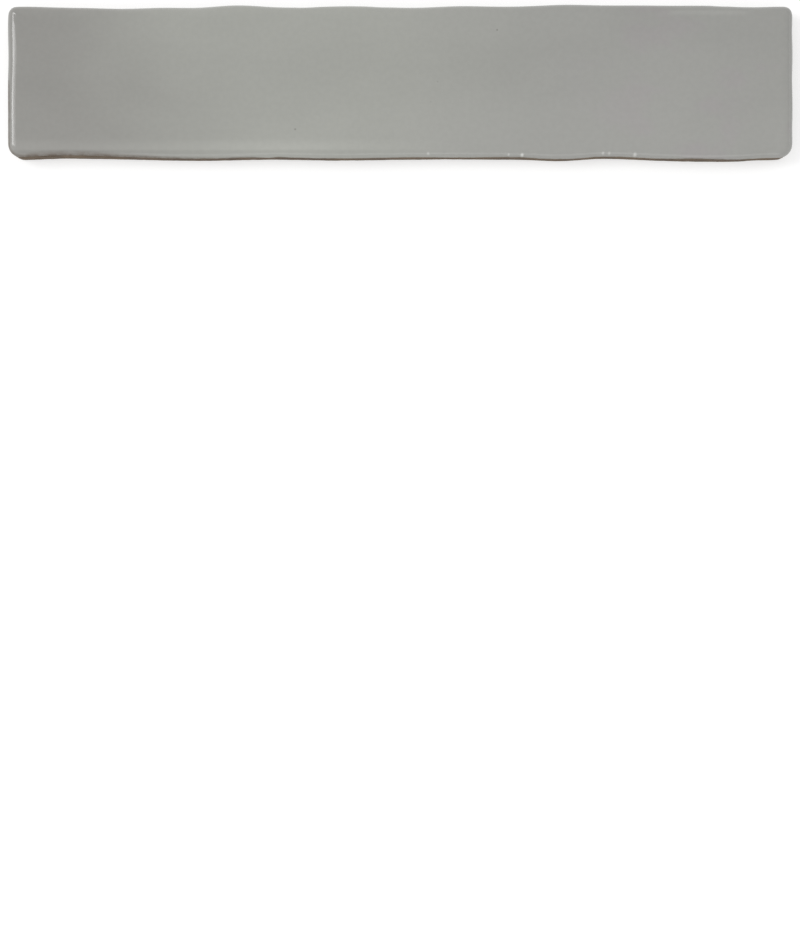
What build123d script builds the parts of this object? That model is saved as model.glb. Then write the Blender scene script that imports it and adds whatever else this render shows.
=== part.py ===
from build123d import *
from math import cos, radians, sin, tan, tau
import os

# A long, narrow wall tile: one pressed and fired piece with a gently uneven
# glazed face, edges that wander a little like hand-cut ones, and a keyed back.
# Millimetres. The tile lies on its back: +X along its length, +Y across it
# towards the far long side, +Z up through the glazed face. The origin is the
# middle of the underside.

# Overall sizes, to the mean lines that the wandering edges follow
tile_length = 250.0
tile_width = 48.2
tile_thickness = 8.5

# Plan corners and the rounded upper edge
near_corner_radius = 4.2
far_corner_radius = 2.6
arris_radius = 2.4
base_edge_cut = 0.6

# Each side leans out from the base to the shoulder, by this angle from upright
side_draft = 1.5

# How far each side stands out from its mean line, at even steps along it.
# The long sides are read from left to right, the ends from near to far.
near_side_waves = (
    -0.4, -0.3, -0.1, 0.2, 0.3, 0.1, -0.1, 0.1, 0.2, 0.0,
    -0.1, -0.2, -0.1, 0.0, 0.4, -0.3, -0.1, 0.4, 0.6, 0.5,
)
far_side_waves = (
    -0.2, -0.4, -0.7, -0.3, -0.3, 0.5, -0.1, -0.2, 0.1, -0.2,
    -0.4, 0.2, 0.1, 0.2, 0.7, 0.4, 0.4, 0.3, 0.3, -0.2,
)
left_end_waves = (0.1, 0.1, 0.0, -0.2, 0.0)
right_end_waves = (0.0, 0.1, -0.1, 0.1, 0.0)

# The face falls a little towards its long sides, and rolls in two slow swells
face_fall = 0.25
long_swell_height = 0.16
long_swell_length = 118.0
slant_swell_height = 0.10
slant_swell_length = 74.0
slant_swell_breadth = 62.0

# Keyed back: shallow cells between ribs, which grip the bedding adhesive
cell_length = 12.2
cell_width = 7.6
cell_depth = 1.0
cell_corner_cut = 1.2
cell_draft = 20.0
rib_width = 3.0
back_border = 4.2


def wandering_side(start, end, waves, outward):
    """A side from start to end that leaves and arrives along its mean line."""
    along = (end - start) / (len(waves) + 1)
    stations = [start + along * (i + 1) + outward * w for i, w in enumerate(waves)]
    heading = along.normalized()
    return Spline(start, *stations, end, tangents=[heading, heading])


def outline(height):
    """The tile's closed plan outline at a height, larger as the sides lean out."""
    shoulder = tile_thickness - arris_radius
    outset = (height - shoulder) * tan(radians(side_draft))
    half_length = tile_length / 2 + outset
    half_width = tile_width / 2 + outset
    near, far = near_corner_radius + outset, far_corner_radius + outset
    right, up, left, down = Vector(1, 0), Vector(0, 1), Vector(-1, 0), Vector(0, -1)

    def at(x, y):
        return Vector(x, y, height)

    return Wire(
        [
            wandering_side(
                at(-half_length + near, -half_width),
                at(half_length - near, -half_width),
                near_side_waves,
                down,
            ),
            JernArc(at(half_length - near, -half_width), right, near, 90),
            wandering_side(
                at(half_length, -half_width + near),
                at(half_length, half_width - far),
                right_end_waves,
                right,
            ),
            JernArc(at(half_length, half_width - far), up, far, 90),
            wandering_side(
                at(half_length - far, half_width),
                at(-half_length + far, half_width),
                far_side_waves[::-1],
                up,
            ),
            JernArc(at(-half_length + far, half_width), left, far, 90),
            wandering_side(
                at(-half_length, half_width - far),
                at(-half_length, -half_width + near),
                left_end_waves[::-1],
                left,
            ),
            JernArc(at(-half_length, -half_width + near), down, near, 90),
        ]
    )


def face_height(x, y):
    """Height of the glazed face over the underside."""
    fall = face_fall * (2 * y / tile_width) ** 2
    long_swell = long_swell_height * cos(tau * x / long_swell_length + 0.7)
    slant = tau * (x / slant_swell_length + y / slant_swell_breadth)
    return tile_thickness - fall + long_swell + slant_swell_height * sin(slant)


def face_surface():
    """The rolling face as one smooth surface, reaching past the sides."""
    reach, columns, rows = 1.12, 33, 9
    xs = [tile_length * reach * (i / (columns - 1) - 0.5) for i in range(columns)]
    ys = [tile_width * reach * (j / (rows - 1) - 0.5) for j in range(rows)]
    points = [[Vector(x, y, face_height(x, y)) for y in ys] for x in xs]
    return Face.make_surface_from_array_of_points(points, tol=1e-3)


def blank():
    """The tile before its back is keyed: rounded above and with its lower edge cut."""
    above_face = tile_thickness * 1.3
    block = Solid.make_loft([outline(0), outline(above_face)], ruled=True)
    halves = split(block, bisect_by=face_surface(), keep=Keep.BOTH)
    body = halves.solids().sort_by(Axis.Z)[0].clean()
    rim = body.faces().sort_by(Axis.Z)[-1].edges()
    body = body.fillet(arris_radius, rim)
    base = body.faces().sort_by(Axis.Z)[0].edges()
    return body.chamfer(base_edge_cut, None, base)


def back_cells():
    """The shallow cells of the back, as the solids that are pressed out of it."""

    def how_many(size, cell):
        return int((size - 2 * back_border + rib_width) // (cell + rib_width))

    mouth = chamfer(Rectangle(cell_length, cell_width).vertices(), cell_corner_cut)
    cell = extrude(mouth, amount=cell_depth, taper=cell_draft)
    places = GridLocations(
        cell_length + rib_width,
        cell_width + rib_width,
        how_many(tile_length, cell_length),
        how_many(tile_width, cell_width),
    )
    return [place * cell for place in places]


tile = blank() - back_cells()
middle = tile.bounding_box().center()
tile = Pos(-middle.X, -middle.Y, 0) * tile

os.makedirs("parts", exist_ok=True)
export_step(tile, "parts/tile.step")
print("tile volume", round(tile.volume), "mm3, size", tile.bounding_box().size)
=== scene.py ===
from math import cos, pi, radians, sin, tan

import bmesh
import bpy
import numpy as np
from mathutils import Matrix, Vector, noise
from mathutils.bvhtree import BVHTree


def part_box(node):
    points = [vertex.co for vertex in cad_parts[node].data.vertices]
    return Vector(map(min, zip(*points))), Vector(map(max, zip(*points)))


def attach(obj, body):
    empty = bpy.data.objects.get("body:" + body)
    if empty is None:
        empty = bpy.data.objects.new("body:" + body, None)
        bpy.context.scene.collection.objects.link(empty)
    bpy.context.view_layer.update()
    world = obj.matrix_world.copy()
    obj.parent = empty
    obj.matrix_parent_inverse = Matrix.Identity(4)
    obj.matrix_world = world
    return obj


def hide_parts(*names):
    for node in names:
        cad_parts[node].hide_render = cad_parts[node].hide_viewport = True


# A long, narrow glazed wall tile lying on its back on a white table.
# The mesh here follows the tile's solid, and adds what the solid leaves out:
# glaze that ends in a rounded lip on the sides, bare clay under the lip, and
# softened cells in the back. Metres, with the middle of the underside at the
# origin, +X along the tile and +Y across it towards the far side.

MM = 0.001

# How the tile is measured from its solid
corner_reach = 7.0 * MM
ray_length = 4 * corner_reach
station_pitch = 0.85 * MM
corner_steps = 16
shoulder_height = 5.4 * MM
foot_height = 0.9 * MM
outline_smoothing = 6
corner_give = 0.2
swell_detail = (18, 4)
same_point = 0.001 * MM
nearly_straight = 0.999
nearly_flat = 0.99

# Cross-section of the rim: the face rolls off, then the arris turns down
roll_width = 1.3 * MM
arris_width = 2.4 * MM
edge_slope = radians(8)
arris_radius = arris_width / (1 - sin(edge_slope))
arris_drop = arris_radius * cos(edge_slope)
arris_length = arris_radius * (pi / 2 - edge_slope)
base_cut = 0.6 * MM
roll_rows = 6
glaze_rows = 24
bead_rows = 5
clay_rows = 9

# Unevenness of the glaze and of the clay, as widths and heights
broad_ripple_width = 17 * MM
broad_ripple = 0.045 * MM
fine_ripple_width = 6 * MM
fine_ripple = 0.012 * MM
fine_ripple_shift = Vector((3, 9, 5))
clay_grain_widths = (1.6 * MM, 5 * MM)
clay_grain_height = 0.05 * MM

# The end of the glaze, as distances down the rim from the edge of the face
glaze_reach = 3.5 * MM
slow_wander_width = 21 * MM
slow_wander = 0.75 * MM
quick_wander_width = 6 * MM
quick_wander = 0.3 * MM
drip_width = 12 * MM
drip_length = 1.9 * MM
drip_levels = (0.32, 0.75)
drip_shift = Vector((7, 3, 1))
lip_smoothing = 3
thin_edge = 0.9 * MM

# The rounded lip: the step down to the clay, and the swell just above it
glaze_lip = 0.16 * MM
lip_swell = 0.07 * MM
lip_swell_width = 0.5 * MM
lip_swell_place = 0.45 * MM

# Where the glaze has drawn back towards the face, on the near side
drawn_back_x = -106 * MM
drawn_back_width = 32 * MM
drawn_back = 0.75 * MM
drawn_thin_edge = 1.9 * MM

# Softened edges of the back's cells
cell_mouth_ease = 0.18 * MM
cell_floor_ease = 0.3 * MM
ease_middle = 0.3
cell_corner_radius = 1.3 * MM
cell_corner_steps = 4
cell_draft = radians(20)

# Places of the two materials on the mesh
glaze_place = 0
clay_place = 1

# Pinholes in the glaze, by place on the face, radius and darkness
pinholes = (
    ((-33.3 * MM, -15.5 * MM), 0.44 * MM, 0.35),
    ((11.9 * MM, -0.4 * MM), 0.42 * MM, 0.16),
    ((30.8 * MM, 16.1 * MM), 0.42 * MM, 0.38),
    ((9.7 * MM, -6.8 * MM), 0.2 * MM, 0.2),
)

# Small beads of glaze along the near arris, each a bump with a pale painted glint on it, by
# place, radius and how pale the painted glint is
beads_with_painted_glints = (
    ((8.9 * MM, -23.0 * MM), 0.7 * MM, 0.45),
    ((34.5 * MM, -23.3 * MM), 0.6 * MM, 0.45),
    ((38.8 * MM, -23.4 * MM), 0.8 * MM, 0.8),
    ((64.5 * MM, -22.9 * MM), 0.7 * MM, 0.5),
    ((66.5 * MM, -22.9 * MM), 0.7 * MM, 0.45),
    ((74.7 * MM, -23.3 * MM), 0.9 * MM, 0.6),
)

# The table, its shade for the light that it spreads and where it is seen, and
# the light of its own that keeps it white where it is seen
table_half = 1.5
table_level = -0.02 * MM
table_shade = (0.9, 0.9, 0.9, 1)
table_seen_shade = (0.55, 0.55, 0.55, 1)
table_lift = 0.56

# Lights, in degrees round the tile and metres, and the surroundings' strength
panel_distance = 3.0
left_azimuth = 167
near_azimuth = 270
right_azimuth = 0
left_width = 1.1
low_width = 2.2
surround_fill = 0.7
surround_seen = 1.0

# Camera: straight down over a point nearer the viewer than the tile
camera_place = Vector((-0.05 * MM, -124.6 * MM, 558 * MM))
view_height = radians(30.56)


def rgb(red, green, blue):
    """A colour as seen on a screen, 0 to 255, as the linear values a shader takes."""

    def linear(value):
        value /= 255
        return value / 12.92 if value <= 0.04045 else ((value + 0.055) / 1.055) ** 2.4

    return linear(red), linear(green), linear(blue), 1.0


def smooth_step(low, high, value):
    """0 below low, 1 above high, and an S-curve between them."""
    share = min(max((value - low) / (high - low), 0.0), 1.0)
    return share * share * (3 - 2 * share)


# Measuring the solid


class Solid:
    """The tile's solid, measured by rays."""

    def __init__(self, node):
        corners = [v.co.copy() for v in node.data.vertices]
        faces = [tuple(p.vertices) for p in node.data.polygons]
        self.tree = BVHTree.FromPolygons(corners, faces)
        self.low, self.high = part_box("tile")

    def reach(self, start, way, height):
        """How far the side lies from a point inside the tile, along a level way."""
        way = Vector((*way, 0))
        start = Vector((*start, height))
        hit = self.tree.ray_cast(start + way * ray_length, -way)[0]
        return (hit - start).length

    def face_height(self, x, y):
        """Height of the glazed face over a point of the plan."""
        above = Vector((x, y, 2 * self.high.z))
        return self.tree.ray_cast(above, Vector((0, 0, -1)))[0].z


def perimeter(solid):
    """Stations round the tile, from the middle of its near left corner and along
    the near side first: a point inside the tile, and the way out from it."""
    left, near = solid.low.x + corner_reach, solid.low.y + corner_reach
    right, far = solid.high.x - corner_reach, solid.high.y - corner_reach
    corners = [(left, near), (right, near), (right, far), (left, far)]
    columns = round((right - left) / station_pitch)
    rows = round((far - near) / station_pitch)
    half = corner_steps // 2
    starts, turns = [], []
    for side, steps in enumerate((columns, rows, columns, rows)):
        here, there = corners[side], corners[(side + 1) % 4]
        facing = (side - 1) * pi / 2
        starts += [here] * half
        turns += [facing - pi / 4 * (1 - i / half) for i in range(half)]
        for i in range(steps):
            starts.append(tuple(a + (b - a) * i / steps for a, b in zip(here, there)))
        turns += [facing] * steps
        starts += [there] * half
        turns += [facing + pi / 4 * i / half for i in range(half)]
    ways = np.column_stack([np.cos(turns), np.sin(turns)])
    return np.array(starts), ways, columns + 2 * half, rows + 2 * half


def smoothed(values, times, give=1.0):
    """Values round a closed loop, each blended with its neighbours as far as it gives."""
    for _ in range(times):
        around = (np.roll(values, 1) + np.roll(values, -1)) / 2
        values = values + give * (around - values) / 2
    return values


class Rim:
    """The tile's outer skin, from where its face starts to roll off down to its base."""

    def __init__(self, solid):
        starts, ways, self.columns, self.rows = perimeter(solid)
        self.count = len(starts)
        on_side = np.abs(ways).max(axis=1) > nearly_straight
        give = np.where(on_side, 1.0, corner_give)
        outlines = []
        for height in (foot_height, shoulder_height):
            reaches = np.array([solid.reach(s, w, height) for s, w in zip(starts, ways)])
            reaches = smoothed(reaches, outline_smoothing, give)
            outlines.append(starts + ways * reaches[:, None])
        self.foot, self.shoulder = outlines
        along = np.roll(self.shoulder, -1, 0) - np.roll(self.shoulder, 1, 0)
        along /= np.linalg.norm(along, axis=1)[:, None]
        self.out = np.column_stack([along[:, 1], -along[:, 0]])
        self.edge = self.shoulder - self.out * arris_width
        room = np.abs(self.edge - starts).max(axis=1) - roll_width
        square = ways / np.abs(ways).max(axis=1)[:, None]
        self.inner = starts + square * room[:, None]
        self.run = np.linalg.norm(self.edge - self.inner, axis=1)

    def between(self, share):
        """Plan points from the inner line, at 0, to the arris, at 1."""
        return self.inner + (self.edge - self.inner) * share

    def fall(self, share):
        """How far the face has rolled off between the inner line and the arris."""
        return tan(edge_slope) * self.run * share**2 / 2

    def roll(self, share, face):
        """Points and outward normals between the inner line and the arris."""
        plan = self.between(share)
        height = face.heights(plan) - self.fall(share)
        slope = edge_slope * share
        upright = np.full(self.count, cos(slope))
        return np.column_stack([plan, height]), np.column_stack([self.out * sin(slope), upright])

    def side(self, height):
        """The plan outline at heights on the side."""
        share = (height - foot_height) / (shoulder_height - foot_height)
        return self.foot + (self.shoulder - self.foot) * share[:, None]

    def skin(self, down, edge_height):
        """Points and outward normals at distances down from the start of the arris."""
        turn = np.minimum(edge_slope + down / arris_radius, pi / 2)
        beyond = np.maximum(down - arris_length, 0)
        height = edge_height - arris_drop + arris_radius * np.cos(turn) - beyond
        plan = self.side(np.minimum(height, edge_height - arris_drop))
        plan = plan - self.out * (arris_radius * (1 - np.sin(turn)))[:, None]
        normals = np.column_stack([self.out * np.sin(turn)[:, None], np.cos(turn)])
        return np.column_stack([plan, height]), normals


def filled_plan(rim):
    """A grid of plan points over the face, spread evenly inside the inner line."""
    nx, ny = rim.columns, rim.rows
    edge = np.concatenate([rim.inner, rim.inner[:1]])
    near = edge[: nx + 1]
    right = edge[nx : nx + ny + 1]
    far = edge[nx + ny : 2 * nx + ny + 1][::-1]
    left = edge[2 * nx + ny :][::-1]
    across = (near[:, 0] + far[:, 0]) / 2
    up = (left[:, 1] + right[:, 1]) / 2
    u = ((across - across[0]) / (across[-1] - across[0]))[:, None, None]
    v = ((up - up[0]) / (up[-1] - up[0]))[None, :, None]
    along = (1 - v) * near[:, None] + v * far[:, None]
    between = (1 - u) * left[None] + u * right[None]
    low = (1 - u) * near[0] + u * near[-1]
    high = (1 - u) * far[0] + u * far[-1]
    return along + between - (1 - v) * low - v * high


class Face:
    """The rolling face as one smooth surface, fitted to the solid's."""

    def __init__(self, solid, rim, plan):
        self.half_size = solid.high
        inside = plan.reshape(-1, 2)
        points = np.concatenate([inside, rim.between(0.5), rim.between(0.95)])
        found = np.array([solid.face_height(x, y) for x, y in points])
        self.weights = np.linalg.lstsq(self.basis(points), found, rcond=None)[0]

    def basis(self, points):
        """The smooth waves that the face is a sum of, at plan points."""
        x, y = points[..., 0] / self.half_size.x, points[..., 1] / self.half_size.y
        return np.polynomial.chebyshev.chebvander2d(x, y, swell_detail)

    def heights(self, points):
        """Heights of the face over plan points."""
        return self.basis(points) @ self.weights


# The glazed skin and the clay under its lip


def glaze_ripple(point):
    """The gentle unevenness of the glaze, as a height on its surface."""
    broad = noise.noise(point / broad_ripple_width)
    fine = noise.noise(point / fine_ripple_width + fine_ripple_shift)
    return broad_ripple * broad + fine_ripple * fine


def clay_grain(point):
    """The unevenness of fired clay, as a height on its surface."""
    return sum(clay_grain_height * noise.noise(point / width) for width in clay_grain_widths)


def raised(points, normals, height):
    """Points moved along their normals by a height that depends on the place."""
    lift = np.array([height(Vector(p)) for p in points])
    return points + normals * lift[:, None]


def drawn_back_share(rim):
    """How much the glaze has drawn back, station by station."""
    x, y = rim.shoulder.T
    return np.exp(-(((x - drawn_back_x) / drawn_back_width) ** 2)) * (y < 0)


def lip_distances(rim):
    """How far down the rim the glaze runs, station by station."""
    drawn = drawn_back_share(rim)
    found = []
    for (x, y), share in zip(rim.shoulder, drawn):
        place = Vector((x, y, 0))
        wander = slow_wander * noise.noise(place / slow_wander_width)
        wander += quick_wander * noise.noise(place / quick_wander_width)
        drips = noise.noise(place / drip_width + drip_shift)
        drip = drip_length * smooth_step(*drip_levels, drips)
        found.append(glaze_reach + wander + drip * (1 - share) - drawn_back * share)
    return smoothed(np.array(found), lip_smoothing)


def rim_rings(rim, face):
    """Rings of points from just outside the inner line to the underside, how many
    of them are glazed, and how thin the glaze is at each point."""
    lip = lip_distances(rim)
    fade = thin_edge + drawn_thin_edge * drawn_back_share(rim)
    edge_height = face.heights(rim.edge) - rim.fall(1.0)
    rings, thinness = [], []
    for row in range(1, roll_rows + 1):
        share = row / roll_rows
        points, normals = rim.roll(share, face)
        rings.append(raised(points, normals, glaze_ripple))
        thinness.append(np.clip(1 - (lip + rim.run * (1 - share)) / fade, 0, 1))
    for row in range(1, glaze_rows + 1):
        down = lip * row / glaze_rows
        points, normals = rim.skin(down, edge_height)
        off_swell = (lip - down - lip_swell_place) / lip_swell_width
        swell = lip_swell * np.exp(-(off_swell**2))
        rings.append(raised(points + normals * swell[:, None], normals, glaze_ripple))
        thinness.append(np.clip(1 - (lip - down) / fade, 0, 1))
    for row in range(1, bead_rows + 1):
        turn = row / bead_rows * pi / 2
        points, normals = rim.skin(lip + glaze_lip * sin(turn), edge_height)
        points = points - normals * glaze_lip * (1 - cos(turn))
        rings.append(raised(points, normals, glaze_ripple))
        thinness.append(np.ones(rim.count))
    glazed = len(rings)
    start = lip + glaze_lip
    end = arris_length + edge_height - arris_drop - base_cut
    for row in range(1, clay_rows + 1):
        points, normals = rim.skin(start + (end - start) * row / clay_rows, edge_height)
        rings.append(raised(points - normals * glaze_lip, normals, clay_grain))
        thinness.append(np.ones(rim.count))
    foot = rim.side(np.zeros(rim.count)) - rim.out * (glaze_lip + base_cut)
    rings.append(np.column_stack([foot, np.zeros(rim.count)]))
    thinness.append(np.ones(rim.count))
    return rings, glazed, thinness


def edge_order(nx, ny):
    """The grid places round the inner line, in the order of the stations."""
    near = [(i, 0) for i in range(nx)]
    right = [(nx, j) for j in range(ny)]
    far = [(i, ny) for i in range(nx, 0, -1)]
    left = [(0, j) for j in range(ny, 0, -1)]
    return near + right + far + left


def add_skin(bm, solid, thin_layer):
    """Adds the face, the rim and the clay side, and returns the underside's rim."""
    rim = Rim(solid)
    plan = filled_plan(rim)
    face = Face(solid, rim, plan)
    heights = face.heights(plan)
    nx, ny = rim.columns, rim.rows
    grid = [[None] * (ny + 1) for _ in range(nx + 1)]
    for i in range(nx + 1):
        for j in range(ny + 1):
            point = Vector((*plan[i, j], heights[i, j]))
            point.z += glaze_ripple(point)
            grid[i][j] = bm.verts.new(point)
    for i in range(nx):
        for j in range(ny):
            corners = (grid[i][j], grid[i + 1][j], grid[i + 1][j + 1], grid[i][j + 1])
            bm.faces.new(corners).smooth = True
    order = edge_order(nx, ny)
    inner = [grid[i][j] for i, j in order]
    rings, glazed, thinness = rim_rings(rim, face)
    for number, (points, thin) in enumerate(zip(rings, thinness)):
        outer = [bm.verts.new(p) for p in points]
        for vert, share in zip(outer, thin):
            vert[thin_layer] = share
        for k in range(rim.count):
            after = (k + 1) % rim.count
            patch = bm.faces.new((inner[k], outer[k], outer[after], inner[after]))
            patch.smooth = True
            patch.material_index = glaze_place if number < glazed else clay_place
        inner = outer
    return inner


# The keyed back


def cell_floors(node):
    """The flat floors of the back's cells, as the lowest and highest corner of each."""
    bm = bmesh.new()
    bm.from_mesh(node.data)
    bmesh.ops.remove_doubles(bm, verts=bm.verts, dist=same_point)
    bm.normal_update()
    deep = base_cut / 2
    level = [f for f in bm.faces if f.normal.z < -nearly_flat]
    floors = {f for f in level if f.calc_center_median().z > deep}
    found = []
    while floors:
        island, queue = [], [floors.pop()]
        while queue:
            face = queue.pop()
            island += [v.co.copy() for v in face.verts]
            near = {f for e in face.edges for f in e.link_faces} & floors
            floors -= near
            queue += near
        low = Vector(map(min, zip(*island)))
        high = Vector(map(max, zip(*island)))
        found.append((low, high))
    bm.free()
    return sorted(found, key=lambda floor: tuple(floor[0]))


def rounded_loop(bm, low, high, grow, radius, height):
    """A loop of vertices round a rectangle with rounded corners."""
    x0, y0, x1, y1 = low.x - grow, low.y - grow, high.x + grow, high.y + grow
    centres = (
        (x1 - radius, y1 - radius),
        (x0 + radius, y1 - radius),
        (x0 + radius, y0 + radius),
        (x1 - radius, y0 + radius),
    )
    loop = []
    for quarter, (x, y) in enumerate(centres):
        for step in range(cell_corner_steps + 1):
            turn = (quarter + step / cell_corner_steps) * pi / 2
            loop.append(bm.verts.new((x + radius * cos(turn), y + radius * sin(turn), height)))
    return loop


def add_cell(bm, low, high):
    """One cell pressed into the back, and the loop of its mouth."""
    depth = low.z
    mouth_grow = depth * tan(cell_draft)
    rows = (
        (mouth_grow + cell_mouth_ease, 0),
        (mouth_grow + ease_middle * cell_mouth_ease, ease_middle * cell_mouth_ease),
        (mouth_grow * (1 - cell_mouth_ease / depth), cell_mouth_ease),
        (mouth_grow * cell_floor_ease / depth, depth - cell_floor_ease),
        (-ease_middle * cell_floor_ease, depth - ease_middle * cell_floor_ease),
        (-cell_floor_ease, depth),
    )
    loops = [rounded_loop(bm, low, high, g, cell_corner_radius + g, h) for g, h in rows]
    for outer, inner in zip(loops, loops[1:]):
        for k in range(len(outer)):
            after = (k + 1) % len(outer)
            bm.faces.new((outer[k], inner[k], inner[after], outer[after])).smooth = True
    bm.faces.new(loops[-1][::-1]).smooth = True
    return loops[0]


def loop_edges(bm, loop):
    """The edges of a closed loop of vertices."""
    pairs = zip(loop, loop[1:] + loop[:1])
    return [bm.edges.get(pair) or bm.edges.new(pair) for pair in pairs]


def add_back(bm, node, rim_loop):
    """The underside: the plane that the ribs lie on, and the cells sunk into it."""
    before = set(bm.faces)
    edges = loop_edges(bm, rim_loop)
    for low, high in cell_floors(node):
        edges += loop_edges(bm, add_cell(bm, low, high))
    bmesh.ops.triangle_fill(bm, use_beauty=True, edges=edges, normal=(0, 0, -1))
    for face in set(bm.faces) - before:
        face.material_index = clay_place


# Materials


class Shader:
    """A material's nodes, with short calls that add them and join them up."""

    def __init__(self, name):
        self.material = bpy.data.materials.new(name)
        self.material.use_nodes = True
        self.tree = self.material.node_tree
        self.tree.nodes.clear()
        self.place = self.add("TexCoord").outputs["Object"]

    def add(self, kind, settings=None, **inputs):
        """Adds a node. Inputs are named with underscores for spaces."""
        node = self.tree.nodes.new("ShaderNode" + kind)
        for key, value in (settings or {}).items():
            setattr(node, key, value)
        for key, value in inputs.items():
            self.feed(node.inputs[key.replace("_", " ")], value)
        return node

    def feed(self, socket, value):
        """Joins a socket to another, or sets it to a value."""
        if isinstance(value, bpy.types.NodeSocket):
            self.tree.links.new(value, socket)
        else:
            socket.default_value = value

    def noise(self, size, detail=2.0, stretch=(1, 1, 1), offset=(0, 0, 0)):
        """Soft random values from 0 to 1, with blotches of about this size."""
        mapping = self.add("Mapping", Vector=self.place, Location=offset, Scale=stretch)
        node = self.add("TexNoise", Vector=mapping.outputs[0], Scale=1 / size, Detail=detail)
        return node.outputs[0]

    def ranged(self, value, start, end, to_start=0.0, to_end=1.0):
        """A value mapped from one range to another, with soft ends. Either may run downwards."""
        ends = {"From_Min": start, "From_Max": end, "To_Min": to_start, "To_Max": to_end}
        node = self.add("MapRange", {"interpolation_type": "SMOOTHSTEP"}, Value=value, **ends)
        return node.outputs[0]

    def varied(self, size, low, high, **settings):
        """Soft random values that mostly fill a range, with blotches of about this size."""
        return self.ranged(self.noise(size, **settings), 0.3, 0.7, low, high)

    def band(self, value, rise, fall):
        """1 in a band of values, with soft ends. Each pair is where it is 0 and where it is 1."""
        return self.math("MULTIPLY", self.ranged(value, *rise), self.ranged(value, *fall))

    def math(self, operation, first, second):
        """One step of arithmetic."""
        node = self.add("Math", {"operation": operation})
        self.feed(node.inputs[0], first)
        self.feed(node.inputs[1], second)
        return node.outputs[0]

    def mix(self, share, first, second, mode="MIX"):
        """Two colours mixed."""
        node = self.add("Mix", {"data_type": "RGBA", "blend_type": mode})
        self.feed(node.inputs[0], share)
        self.feed(node.inputs[6], first)
        self.feed(node.inputs[7], second)
        return node.outputs[2]

    def bumped(self, height):
        """The normals of the surface with a height in metres on it."""
        return self.add("Bump", Strength=1.0, Distance=1.0, Height=height).outputs[0]

    def surface(self, **inputs):
        """Ends the material in one plain surface shader."""
        shader = self.add("BsdfPrincipled", **inputs)
        self.add("OutputMaterial", Surface=shader.outputs[0])
        return self.material


def spots(glaze, places, flat):
    """Each spot's own level at its middle, out to a share of its radius, and 0 beyond it."""
    axes = glaze.add("SeparateXYZ", Vector=glaze.place).outputs
    level = glaze.add("CombineXYZ", X=axes["X"], Y=axes["Y"]).outputs[0]
    total = None
    for (x, y), radius, peak in places:
        gap = glaze.add("VectorMath", {"operation": "DISTANCE"})
        glaze.feed(gap.inputs[0], level)
        glaze.feed(gap.inputs[1], (x, y, 0))
        spot = glaze.ranged(gap.outputs["Value"], flat * radius, radius, peak, 0.0)
        total = spot if total is None else glaze.math("MAXIMUM", total, spot)
    return total


def glaze_tone(glaze, x):
    """Colours along the tile: warm at the left end, pale past it, and cooler
    with pinkish clouds at the right."""
    warm_end = rgb(142, 141, 137)
    pale_middle = rgb(159, 160, 154)
    cool_grey = rgb(153, 153, 149)
    pinkish = rgb(154, 151, 150)
    sway = 14 * MM
    swaying = glaze.noise(45 * MM, stretch=(0.6, 1, 1))
    along = glaze.math("ADD", x, glaze.ranged(swaying, 0.2, 0.8, -sway, sway))
    tone = glaze.mix(glaze.ranged(along, -120 * MM, -50 * MM), warm_end, pale_middle)
    tone = glaze.mix(glaze.ranged(along, -20 * MM, 62 * MM), tone, cool_grey)
    clouds = glaze.noise(13 * MM, detail=3, stretch=(0.7, 1, 1), offset=(3, 1, 0))
    at_right = glaze.ranged(x, 45 * MM, 85 * MM)
    blush = glaze.math("MULTIPLY", glaze.ranged(clouds, 0.46, 0.62), at_right)
    return glaze.mix(glaze.math("MULTIPLY", blush, 0.8), tone, pinkish)


def painted_highlight_bands(glaze, x, y):
    """Painted highlights: how much paler the glaze is painted in three bands, a painted
    reflection along the near side, a painted highlight along the far side, and a thin painted
    highlight streak by the far right corner."""
    near_most, far_most, streak_most = 0.1, 0.05, 0.09
    near = glaze.band(y, (-17.8 * MM, -21.0 * MM), (-22.4 * MM, -21.6 * MM))
    near = glaze.math("MULTIPLY", near, glaze.ranged(x, 25 * MM, -30 * MM, 0.0, near_most))
    far = glaze.ranged(y, 19.5 * MM, 23 * MM)
    far = glaze.math("MULTIPLY", far, glaze.ranged(x, 60 * MM, -60 * MM, 0.0, far_most))
    streak = glaze.band(y, (20.2 * MM, 21.6 * MM), (22.7 * MM, 21.9 * MM))
    streak_run = glaze.band(x, (82 * MM, 89 * MM), (114 * MM, 107 * MM))
    streak = glaze.math("MULTIPLY", streak, streak_run)
    streak = glaze.math("MULTIPLY", streak, streak_most)
    return glaze.math("ADD", glaze.math("ADD", near, far), streak)


def glaze_shade(glaze, x, y):
    """How pale or dark the colours are: slow drifts, fine mottling, and paler towards the near
    side and in the bands of painted highlight."""
    drift = glaze.varied(26 * MM, 0.97, 1.03, detail=3, stretch=(0.5, 1, 1))
    mottle = glaze.varied(1.7 * MM, 0.985, 1.015)
    shade = glaze.math("MULTIPLY", drift, mottle)
    shade = glaze.math("MULTIPLY", shade, glaze.ranged(y, 10 * MM, -20 * MM, 1.0, 1.05))
    # The bands are a painted reflection and painted highlights on the glaze's colour.
    bands = glaze.math("ADD", painted_highlight_bands(glaze, x, y), 1.0)
    shade = glaze.math("MULTIPLY", shade, bands)
    return glaze.add("CombineColor", Red=shade, Green=shade, Blue=shade).outputs[0]


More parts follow.
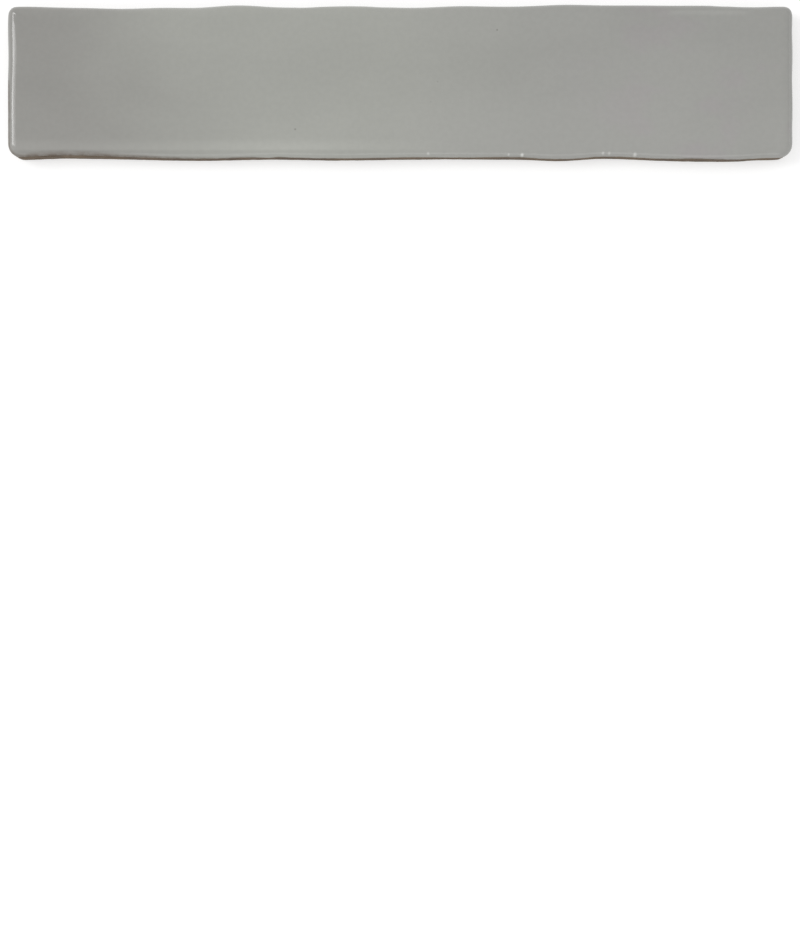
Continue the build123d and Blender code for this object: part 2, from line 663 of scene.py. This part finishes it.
def glaze_material():
    """Glossy warm grey glaze, clouded along the tile and thin at its edge, with painted highlight
    bands and pale painted glints on small beads.
    """
    glaze = Shader("glaze")
    thin_brown = rgb(92, 80, 68)
    pit_brown = rgb(70, 66, 58)
    painted_glint_pale = rgb(222, 223, 219)
    pit_depth = bead_height = 0.08 * MM
    peel_height = 0.006 * MM
    thin_roughness = 0.35
    pit_flat, bead_flat = 0.35, 0.0

    axes = glaze.add("SeparateXYZ", Vector=glaze.place).outputs
    x, y = axes["X"], axes["Y"]
    tone = glaze.mix(1.0, glaze_tone(glaze, x), glaze_shade(glaze, x, y), "MULTIPLY")
    thin = glaze.add("Attribute", {"attribute_name": "thin"}).outputs["Fac"]
    patchy = glaze.varied(2.2 * MM, 0.55, 1.0)
    thin_share = glaze.math("MULTIPLY", glaze.ranged(thin, 0.15, 1.0), patchy)
    pits = spots(glaze, pinholes, pit_flat)
    # The beads are small bumps in the glaze; their pale spots are painted glints.
    beads_and_glints = spots(glaze, beads_with_painted_glints, bead_flat)
    for share, colour in ((thin_share, thin_brown), (pits, pit_brown), (beads_and_glints, painted_glint_pale)):
        tone = glaze.mix(share, tone, colour)

    gloss = glaze.varied(9 * MM, 0.06, 0.11)
    gloss = glaze.math("ADD", gloss, glaze.math("MULTIPLY", thin_share, thin_roughness))
    height = glaze.math("MULTIPLY", glaze.noise(2.4 * MM, detail=1), peel_height)
    height = glaze.math("SUBTRACT", height, glaze.math("MULTIPLY", pits, pit_depth))
    height = glaze.math("ADD", height, glaze.math("MULTIPLY", beads_and_glints, bead_height))
    return glaze.surface(Base_Color=tone, Roughness=gloss, IOR=1.5, Normal=glaze.bumped(height))


def clay_material():
    """Bare fired clay: brown, matt and grainy, with small pores. Its browns are darkened, partly
    as painted shade, and its pores are darkened with painted shade.
    """
    clay = Shader("clay")
    # The clay's browns, darkened partly as painted shade.
    dark, middle, pale = rgb(66, 54, 42), rgb(92, 77, 59), rgb(128, 110, 88)
    # The pores' dark colour is painted shade inside them.
    pore_painted_shade = rgb(44, 36, 29)
    grain_height = 0.06 * MM
    pore_depth = 0.08 * MM

    patches = clay.ranged(clay.noise(8 * MM, detail=5), 0.35, 0.65)
    smears = clay.ranged(clay.noise(1.6 * MM, detail=4, stretch=(1, 1, 2.5)), 0.35, 0.7)
    grains = clay.ranged(clay.noise(0.22 * MM), 0.4, 0.72)
    cells = clay.add("TexVoronoi", Vector=clay.place, Scale=1 / (1.5 * MM))
    pores = clay.ranged(cells.outputs["Distance"], 0.05, 0.14, 1.0, 0.0)
    tone = clay.mix(patches, dark, middle)
    layers = ((smears, 0.3, pale), (grains, 0.45, pale), (pores, 0.7, pore_painted_shade))
    for marks, strength, colour in layers:
        tone = clay.mix(clay.math("MULTIPLY", marks, strength), tone, colour)

    rough = clay.varied(3 * MM, 0.8, 0.92)
    height = clay.math("MULTIPLY", clay.noise(0.3 * MM, detail=3), grain_height)
    height = clay.math("SUBTRACT", height, clay.math("MULTIPLY", pores, pore_depth))
    return clay.surface(Base_Color=tone, Roughness=rough, Normal=clay.bumped(height))


def floor_material():
    """A white table, plain white where it is seen unshadowed, and paler in shadow."""
    table = Shader("white_table")
    ray = table.add("LightPath").outputs
    seen = table.math("MAXIMUM", ray["Is Camera Ray"], ray["Is Glossy Ray"])
    shade = table.mix(seen, table_shade, table_seen_shade)
    white = table.add("BsdfDiffuse", Color=shade)
    lift = table.add("Emission", Strength=table.math("MULTIPLY", seen, table_lift))
    both = table.add("AddShader")
    table.feed(both.inputs[0], white.outputs[0])
    table.feed(both.inputs[1], lift.outputs[0])
    table.add("OutputMaterial", Surface=both.outputs[0])
    return table.material


# The tile, its table, lights and camera


def make_tile(node):
    """The whole tile as one closed mesh."""
    bm = bmesh.new()
    thin_layer = bm.verts.layers.float.new("thin")
    rim_loop = add_skin(bm, Solid(node), thin_layer)
    add_back(bm, node, rim_loop)
    mesh = bpy.data.meshes.new("glazed_tile")
    bm.to_mesh(mesh)
    bm.free()
    mesh.materials.append(glaze_material())
    mesh.materials.append(clay_material())
    tile = bpy.data.objects.new("glazed_tile", mesh)
    bpy.context.scene.collection.objects.link(tile)
    return tile


def make_floor():
    """A white table, larger than any view from above."""
    mesh = bpy.data.meshes.new("table")
    ways = ((-1, -1), (1, -1), (1, 1), (-1, 1))
    corners = [(table_half * x, table_half * y, table_level) for x, y in ways]
    mesh.from_pydata(corners, [], [(0, 1, 2, 3)])
    mesh.materials.append(floor_material())
    table = bpy.data.objects.new("table", mesh)
    bpy.context.scene.collection.objects.link(table)


def add_panel(name, azimuth, low, high, width, radiance):
    """A soft panel of light aimed at the tile, between two angles from upright."""
    middle, half = radians((low + high) / 2), radians((high - low) / 2)
    light = bpy.data.lights.new(name, "AREA")
    light.shape = "RECTANGLE"
    light.size = width
    light.size_y = 2 * panel_distance * tan(half)
    light.energy = radiance * light.size * light.size_y * pi
    panel = bpy.data.objects.new(name, light)
    turn = radians(azimuth)
    way = Vector((cos(turn) * sin(middle), sin(turn) * sin(middle), cos(middle)))
    panel.location = way * panel_distance
    panel.rotation_euler = way.to_track_quat("Z", "Y").to_euler()
    bpy.context.scene.collection.objects.link(panel)


def make_surround():
    """White surroundings where they are seen or mirrored, and a softer fill light."""
    world = bpy.data.worlds.new("surround")
    world.use_nodes = True
    tree = world.node_tree
    ray = tree.nodes.new("ShaderNodeLightPath").outputs
    seen = tree.nodes.new("ShaderNodeMath")
    seen.operation = "MAXIMUM"
    tree.links.new(ray["Is Camera Ray"], seen.inputs[0])
    tree.links.new(ray["Is Glossy Ray"], seen.inputs[1])
    level = tree.nodes.new("ShaderNodeMapRange")
    level.inputs["To Min"].default_value = surround_fill
    level.inputs["To Max"].default_value = surround_seen
    tree.links.new(seen.outputs[0], level.inputs["Value"])
    background = tree.nodes["Background"]
    background.inputs["Color"].default_value = (1, 1, 1, 1)
    tree.links.new(level.outputs[0], background.inputs["Strength"])
    bpy.context.scene.world = world


def light_scene():
    """A bright panel to the left that softens up and down, weak ones low on the
    near side and the right, and the surroundings."""
    add_panel("left_upper_panel", left_azimuth, 25, 30, left_width, 1.5)
    add_panel("left_middle_panel", left_azimuth, 30, 38, left_width, 4.2)
    add_panel("left_lower_panel", left_azimuth, 38, 54, left_width, 6.8)
    add_panel("left_lowest_panel", left_azimuth, 54, 61, left_width, 2.4)
    add_panel("near_panel", near_azimuth, 60, 84, low_width, 0.9)
    add_panel("right_panel", right_azimuth, 72, 88, low_width, 0.6)
    make_surround()


def add_camera():
    """The camera over the table, looking straight down."""
    camera = bpy.data.cameras.new("camera")
    camera.sensor_fit = "VERTICAL"
    camera.angle = view_height
    item = bpy.data.objects.new("camera", camera)
    item.location = camera_place
    bpy.context.scene.collection.objects.link(item)
    bpy.context.scene.camera = item


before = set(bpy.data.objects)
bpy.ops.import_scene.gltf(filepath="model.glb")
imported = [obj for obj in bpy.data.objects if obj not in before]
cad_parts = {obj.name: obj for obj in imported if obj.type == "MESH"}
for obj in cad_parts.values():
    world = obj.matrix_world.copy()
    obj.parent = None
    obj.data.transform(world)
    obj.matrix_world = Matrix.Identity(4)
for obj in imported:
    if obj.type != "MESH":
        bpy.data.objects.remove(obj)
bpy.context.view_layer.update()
add_camera()
make_floor()
light_scene()
tile = make_tile(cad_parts["tile"])
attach(tile, "root")
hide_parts("tile")
bpy.context.scene.view_settings.view_transform = "Standard"
